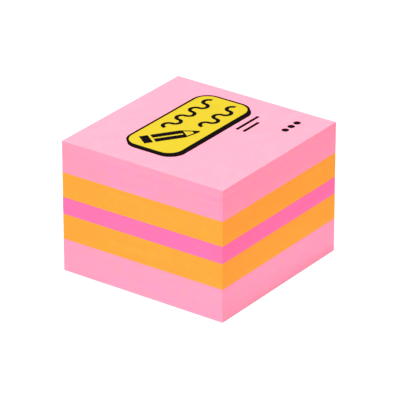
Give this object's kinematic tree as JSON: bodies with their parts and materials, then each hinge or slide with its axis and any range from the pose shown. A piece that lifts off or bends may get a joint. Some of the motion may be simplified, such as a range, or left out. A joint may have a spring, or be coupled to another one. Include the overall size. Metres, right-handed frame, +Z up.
{
  "type": "sticky note pad",
  "caption": "Small square block of sticky notes in bands of pink, orange and magenta, with a printed top note and a release sheet underneath.",
  "frame": {"origin": "middle of the pad's underside, where the backing sheet rests", "axes": "+Z up through the stack, -Y towards the free front edges and the reader of the print, +Y towards the glued back edges, +X to the reader's right"},
  "size_m": [0.051, 0.051, 0.0374],
  "materials": {
    "pink_paper": "matt uncoated paper, dyed light pink",
    "orange_paper": "matt uncoated paper, dyed bright orange",
    "magenta_paper": "matt uncoated paper, dyed magenta pink",
    "backing_paper": "off-white release paper, smooth with a low sheen",
    "adhesive": "thin clear repositionable adhesive, slightly cloudy",
    "yellow_ink": "printed yellow ink, matt",
    "black_ink": "printed black ink, matt"
  },
  "bodies": {
    "root": {"backing_sheet": "backing_paper", "lower_pink_notes_adhesive": "adhesive", "lower_pink_notes": "pink_paper", "lower_orange_notes_adhesive": "adhesive", "lower_orange_notes": "orange_paper", "magenta_notes_adhesive": "adhesive", "magenta_notes": "magenta_paper", "upper_orange_notes_adhesive": "adhesive", "upper_orange_notes": "orange_paper", "upper_pink_notes_adhesive": "adhesive", "upper_pink_notes": "pink_paper", "printed_note_adhesive": "adhesive", "printed_note": "pink_paper", "yellow_ink": "yellow_ink", "black_ink": "black_ink"}
  },
  "joints": []
}
